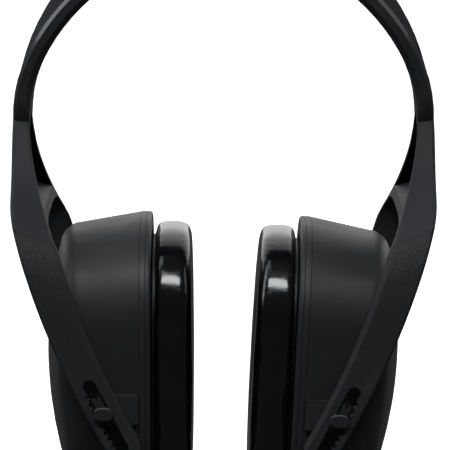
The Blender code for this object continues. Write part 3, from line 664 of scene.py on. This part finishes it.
def add_edge_round(piece, width, angle, curved):
    """Rounded edges where faces meet at more than the angle; curved strips stay smooth."""
    bevel = piece.modifiers.new("edge_round", 'BEVEL')
    bevel.width = width
    bevel.segments = EDGE_SEGMENTS
    bevel.limit_method = 'ANGLE'
    bevel.angle_limit = math.radians(angle)
    bevel.harden_normals = not curved
    bevel.use_clamp_overlap = True
    if curved:
        weighted = piece.modifiers.new("even_shading", 'WEIGHTED_NORMAL')
        weighted.keep_sharp = True


# Tilt of the right cup at rest, and the direction away from the head along each cup's axis.
RIGHT_CUP_TILT = math.radians(3.0)
OUTWARD = {
    "left": Vector((-1.0, 0.0, 0.0)),
    "right": Vector((math.cos(RIGHT_CUP_TILT), 0.0, -math.sin(RIGHT_CUP_TILT))),
}
# Points this close to the end of a cup part belong to its end face.
FACE_BAND = 0.2 * MM


def close_seams(bm, side, inner, outer):
    """Move the head-side and the outer end faces of a cup part into the gaps beside them."""
    axis = OUTWARD[side]
    reach = [vert.co.dot(axis) for vert in bm.verts]
    first, last = min(reach), max(reach)
    for vert, value in zip(bm.verts, reach):
        if inner and value < first + FACE_BAND:
            vert.co -= axis * inner
        elif outer and value > last - FACE_BAND:
            vert.co += axis * outer


def refined_copy(node, name, material, edge, angle, seams=None, curved=False):
    """Smooth copy of a CAD node with rounded edges; a curved one keeps all its strips."""
    bm = node_bmesh(node)
    if seams:
        close_seams(bm, *seams)
    if not curved:
        bmesh.ops.dissolve_limit(bm, angle_limit=math.radians(FLAT_ANGLE), verts=bm.verts,
                                 edges=bm.edges)
    piece = finish_piece(name, bm, material, body_name(node))
    piece.data.set_sharp_from_angle(angle=math.radians(angle))
    add_edge_round(piece, edge, angle, curved)
    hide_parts(node)


# ---------------------------------------------------------------- operators

BAND_SHINE = 0.16
CUP_SHINE = 0.3
CUP_GRAIN_DEPTH = 0.008 * MM
CUP_MARKS = 0.25
CARRIER_ROUGHNESS = 0.5
CARRIER_GRAIN_DEPTH = 0.010 * MM
# Material, slot, roughness and depth of grain of each fitting.
FITTINGS = {
    "stud": ("stud_moulding", "stud_plastic", 0.42, 0.006 * MM),
    "pivot_plate": ("plate_moulding", "plate_plastic", 0.52, 0.010 * MM),
    "slider": ("slider_moulding", "slider_plastic", 0.4, 0.006 * MM),
}


class EARMUFF_OT_headband(bpy.types.Operator):
    """Build the forked headband with its moulded edges"""
    bl_idname = "earmuff.headband"
    bl_label = "Headband"

    def execute(self, context):
        settings = context.scene.earmuff_band
        material = moulded_plastic("headband_moulding", settings.colour, settings.roughness,
                                   settings.grain, shine=BAND_SHINE)
        add_moulded_lines(material)
        refined_copy("headband", "headband_moulding", material,
                     settings.edge_round, BAND_EDGE_ANGLE, curved=True)
        return {'FINISHED'}


class EARMUFF_OT_cups(bpy.types.Operator):
    """Build the two cup shells with their rim rings and back plates"""
    bl_idname = "earmuff.cups"
    bl_label = "Cups"

    def execute(self, context):
        settings = context.scene.earmuff_cup
        material = moulded_plastic("cup_moulding", settings.colour, settings.roughness,
                                   settings.grain, CUP_GRAIN_DEPTH, CUP_MARKS, CUP_SHINE)
        seam = settings.seam
        closing = {
            "cup_shell": (seam, 0.0),
            "rim_ring": (seam, seam),
            "back_plate": (0.0, seam),
        }
        for side in SIDES:
            for part, (inner, outer) in closing.items():
                refined_copy(f"{side}_{part}", f"{side}_{part}_moulding", material,
                             settings.edge_round, CUP_EDGE_ANGLE,
                             seams=(side, inner, outer))
        return {'FINISHED'}


class EARMUFF_OT_fittings(bpy.types.Operator):
    """Build the studs, pivot plates and sliders that join the cups to the arms"""
    bl_idname = "earmuff.fittings"
    bl_label = "Studs, plates and sliders"

    def execute(self, context):
        cup = context.scene.earmuff_cup
        finishes = {}
        for part, (name, slot, roughness, depth) in FITTINGS.items():
            material = moulded_plastic(name, cup.colour, roughness, cup.grain, depth)
            finishes[part] = (material, slot)
        for side in SIDES:
            for place in PLACES:
                for part, (material, slot) in finishes.items():
                    refined_copy(f"{side}_{place}_{part}", f"{side}_{place}_{part}_moulding",
                                 material, FITTING_EDGE, FITTING_EDGE_ANGLE)
        return {'FINISHED'}


class EARMUFF_OT_cushions(bpy.types.Operator):
    """Build the inflated ear cushions on their carrier plates"""
    bl_idname = "earmuff.cushions"
    bl_label = "Ear cushions"

    def execute(self, context):
        settings = context.scene.earmuff_cushion
        cup = context.scene.earmuff_cup
        skin = cushion_vinyl(settings)
        carrier = moulded_plastic("carrier_moulding", cup.colour, CARRIER_ROUGHNESS,
                                  cup.grain, CARRIER_GRAIN_DEPTH)
        for side in SIDES:
            refined_copy(f"{side}_cushion_plate", f"{side}_cushion_carrier", carrier,
                         CARRIER_EDGE, CUP_EDGE_ANGLE)
            build_cushion(side, settings, skin)
        return {'FINISHED'}


def build_cushion(side, settings, skin):
    """One ear cushion: a remeshed ring inflated as cloth, its motion capped."""
    node = f"{side}_cushion"
    bm = node_bmesh(node)
    for vert in bm.verts:
        vert.normal_update()
    for vert in bm.verts:
        vert.co -= vert.normal * settings.inset
    piece = finish_piece(f"{side}_cushion_skin", bm, skin, body_name(node))
    world = bpy.context.scene
    remesh = piece.modifiers.new("remesh", 'REMESH')
    remesh.mode = 'VOXEL'
    remesh.voxel_size = settings.voxel
    remesh.use_smooth_shade = True
    add_smoothing(piece, settings.smoothing)
    apply_modifiers(piece)
    start = [vert.co.copy() for vert in piece.data.vertices]
    cloth = piece.modifiers.new("inflate", 'CLOTH')
    cloth.settings.use_pressure = True
    cloth.settings.uniform_pressure_force = settings.pressure
    cloth.settings.tension_stiffness = SKIN_STIFFNESS
    cloth.settings.compression_stiffness = SKIN_STIFFNESS
    cloth.settings.bending_stiffness = SKIN_BENDING
    cloth.settings.effector_weights.gravity = 0.0
    cloth.point_cache.frame_start = 1
    cloth.point_cache.frame_end = INFLATE_FRAMES
    for number in range(1, INFLATE_FRAMES + 1):
        world.frame_set(number)
    apply_modifiers(piece)
    for vert, rest in zip(piece.data.vertices, start):
        move = vert.co - rest
        if move.length > settings.swell:
            vert.co = rest + move.normalized() * settings.swell
    world.frame_set(1)
    add_smoothing(piece, settings.smoothing)
    finish = piece.modifiers.new("smooth_skin", 'SUBSURF')
    finish.levels = 1
    finish.render_levels = 1
    apply_modifiers(piece)
    for polygon in piece.data.polygons:
        polygon.use_smooth = True
    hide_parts(node)


def add_smoothing(piece, passes):
    """Even out the skin of a cushion."""
    smooth = piece.modifiers.new("even_skin", 'SMOOTH')
    smooth.factor = SMOOTH_FACTOR
    smooth.iterations = passes


def apply_modifiers(piece):
    """Apply every modifier of a piece to its mesh."""
    bpy.context.view_layer.update()
    graph = bpy.context.evaluated_depsgraph_get()
    mesh = bpy.data.meshes.new_from_object(piece.evaluated_get(graph))
    piece.modifiers.clear()
    old = piece.data
    piece.data = mesh
    bpy.data.meshes.remove(old)
    mesh.name = piece.name


class EARMUFF_OT_liners(bpy.types.Operator):
    """Build the foam liners inside the cups"""
    bl_idname = "earmuff.liners"
    bl_label = "Foam liners"

    def execute(self, context):
        foam = liner_foam()
        for side in SIDES:
            refined_copy(f"{side}_foam_liner", f"{side}_foam_pad", foam,
                         LINER_EDGE, FITTING_EDGE_ANGLE)
        return {'FINISHED'}


class EARMUFF_OT_stage(bpy.types.Operator):
    """Build the floor, the studio lights and the camera"""
    bl_idname = "earmuff.stage"
    bl_label = "Stage"

    def execute(self, context):
        settings = context.scene.earmuff_stage
        build_floor(settings)
        build_world()
        for light in STUDIO_LIGHTS:
            build_light(*light)
        build_camera(settings)
        context.scene.view_settings.view_transform = 'Standard'
        return {'FINISHED'}


# Name, place of the light, point it faces, width, height, power in watts, colour.
STUDIO_LIGHTS = (
    ("top_softbox", (-0.06, -0.62, 0.98), (0.0, 0.0, 0.06), 0.88, 0.21, 8.2,
     (0.95, 0.98, 1.0)),
    ("ceiling_softbox", (-0.60, 0.05, 1.30), (0.0, 0.0, 0.1), 0.6, 0.6, 2.0,
     (0.80, 0.90, 1.0)),
    ("left_softbox", (-1.20, -0.15, 0.95), (0.0, 0.0, 0.1), 0.5, 0.9, 5.0,
     (0.88, 0.94, 1.0)),
    ("right_softbox", (1.25, -0.15, 0.90), (0.0, 0.0, 0.1), 0.4, 0.7, 1.0,
     (1.0, 1.0, 1.0)),
)
WHITE = (1.0, 1.0, 1.0, 1.0)

# Brightness of the floor as the camera sees it, and of floor and backdrop in reflections.
CAMERA_GLOW = 0.95
FRONT_GLOW = 0.085
BACK_GLOW = 0.06
SKY_GLOW = 1.5
# The glow changes over these distances behind the origin on the floor, and over these
# backward parts of a direction in the sky.
FLOOR_BLEND = (0.05, 0.6)
SKY_BLEND = (0.1, 0.75)
FLOOR_ROUGHNESS = 0.9

SENSOR_WIDTH = 36.0
# Sideways shift of the lens, as a share of the width of the frame.
LENS_SHIFT = 1.5 / 450.0


def build_floor(settings):
    """White floor that looks bright to the camera and dim in reflections."""
    bm = bmesh.new()
    bmesh.ops.create_grid(bm, x_segments=1, y_segments=1, size=settings.floor_size / 2)
    mesh = bpy.data.meshes.new("floor")
    bm.to_mesh(mesh)
    bm.free()
    floor = bpy.data.objects.new("floor", mesh)
    bpy.context.scene.collection.objects.link(floor)
    material = bpy.data.materials.new("pale_floor")
    material.use_nodes = True
    tree = material.node_tree
    shader = tree.nodes["Principled BSDF"]
    shader.inputs["Base Color"].default_value = rgba(settings.floor_colour)
    shader.inputs["Roughness"].default_value = FLOOR_ROUGHNESS
    shader.inputs["Specular IOR Level"].default_value = 0.0
    shader.inputs["Emission Color"].default_value = WHITE
    shader.inputs["Emission Strength"].default_value = CAMERA_GLOW
    place = tree.nodes.new('ShaderNodeTexCoord').outputs["Object"]
    parts = tree.nodes.new('ShaderNodeSeparateXYZ')
    tree.links.new(place, parts.inputs["Vector"])
    behind = add_range(tree, parts.outputs["Y"], *FLOOR_BLEND, FRONT_GLOW, BACK_GLOW, True)
    reflected = tree.nodes.new('ShaderNodeEmission')
    tree.links.new(behind, reflected.inputs["Strength"])
    path = tree.nodes.new('ShaderNodeLightPath')
    mix = tree.nodes.new('ShaderNodeMixShader')
    tree.links.new(path.outputs["Is Camera Ray"], mix.inputs["Fac"])
    tree.links.new(reflected.outputs["Emission"], mix.inputs[1])
    tree.links.new(shader.outputs["BSDF"], mix.inputs[2])
    output = next(node for node in tree.nodes if node.type == 'OUTPUT_MATERIAL')
    tree.links.new(mix.outputs["Shader"], output.inputs["Surface"])
    mesh.materials.append(material)


def build_world():
    """Studio backdrop: white to the camera; in reflections bright behind, dim in front."""
    world = bpy.data.worlds.new("studio_white")
    bpy.context.scene.world = world
    world.use_nodes = True
    tree = world.node_tree
    tree.nodes.clear()
    output = tree.nodes.new('ShaderNodeOutputWorld')
    seen = tree.nodes.new('ShaderNodeBackground')
    seen.inputs["Color"].default_value = WHITE
    lit = tree.nodes.new('ShaderNodeBackground')
    direction = tree.nodes.new('ShaderNodeTexCoord')
    parts = tree.nodes.new('ShaderNodeSeparateXYZ')
    tree.links.new(direction.outputs["Generated"], parts.inputs["Vector"])
    behind = add_range(tree, parts.outputs["Y"], *SKY_BLEND, FRONT_GLOW, SKY_GLOW, True)
    tree.links.new(behind, lit.inputs["Strength"])
    path = tree.nodes.new('ShaderNodeLightPath')
    mix = tree.nodes.new('ShaderNodeMixShader')
    tree.links.new(path.outputs["Is Camera Ray"], mix.inputs["Fac"])
    tree.links.new(lit.outputs["Background"], mix.inputs[1])
    tree.links.new(seen.outputs["Background"], mix.inputs[2])
    tree.links.new(mix.outputs["Shader"], output.inputs["Surface"])


def build_light(name, place, target, width, height, power, colour):
    """Rectangular soft light that faces a point."""
    data = bpy.data.lights.new(name, 'AREA')
    data.shape = 'RECTANGLE'
    data.size = width
    data.size_y = height
    data.energy = power
    data.color = colour
    light = bpy.data.objects.new(name, data)
    light.location = place
    aim = Vector(target) - Vector(place)
    light.rotation_euler = aim.to_track_quat('-Z', 'Y').to_euler()
    bpy.context.scene.collection.objects.link(light)


def build_camera(settings):
    """Camera in front of the earmuffs, a little above them."""
    data = bpy.data.cameras.new("studio_camera")
    data.sensor_width = SENSOR_WIDTH
    data.lens = settings.lens
    data.shift_x = LENS_SHIFT
    camera = bpy.data.objects.new("studio_camera", data)
    angle = settings.camera_elevation
    camera.location = (0.0, -settings.camera_distance * math.cos(angle),
                       settings.aim_height + settings.camera_distance * math.sin(angle))
    camera.rotation_euler = (math.pi / 2 - angle, 0.0, 0.0)
    bpy.context.scene.collection.objects.link(camera)
    bpy.context.scene.camera = camera


class EARMUFF_PT_panel(bpy.types.Panel):
    """Lists the sizes, the finishes and the building steps"""
    bl_idname = "EARMUFF_PT_panel"
    bl_label = "Earmuffs"
    bl_space_type = 'VIEW_3D'
    bl_region_type = 'UI'
    bl_category = "Earmuffs"

    def draw(self, context):
        layout = self.layout
        for owner in SETTINGS:
            group = getattr(context.scene, owner)
            box = layout.box()
            for name in group.bl_rna.properties.keys():
                if name not in ("rna_type", "name"):
                    box.prop(group, name)
        for operator in OPERATORS:
            layout.operator(operator.bl_idname)


OPERATORS = (
    EARMUFF_OT_headband,
    EARMUFF_OT_cups,
    EARMUFF_OT_fittings,
    EARMUFF_OT_cushions,
    EARMUFF_OT_liners,
    EARMUFF_OT_stage,
)


def register():
    """Add the settings, the building steps and the panel to Blender."""
    for group in SETTINGS.values():
        bpy.utils.register_class(group)
    for owner, group in SETTINGS.items():
        setattr(bpy.types.Scene, owner, bpy.props.PointerProperty(type=group))
    for operator in OPERATORS:
        bpy.utils.register_class(operator)
    bpy.utils.register_class(EARMUFF_PT_panel)


def unregister():
    """Take them out again."""
    bpy.utils.unregister_class(EARMUFF_PT_panel)
    for operator in reversed(OPERATORS):
        bpy.utils.unregister_class(operator)
    for owner, group in SETTINGS.items():
        delattr(bpy.types.Scene, owner)
        bpy.utils.unregister_class(group)


def main():
    """Build every piece and the stage."""
    register()
    bpy.ops.earmuff.headband()
    bpy.ops.earmuff.cups()
    bpy.ops.earmuff.fittings()
    bpy.ops.earmuff.cushions()
    bpy.ops.earmuff.liners()
    bpy.ops.earmuff.stage()
    bpy.context.view_layer.update()


if __name__ == "__main__":
    main()
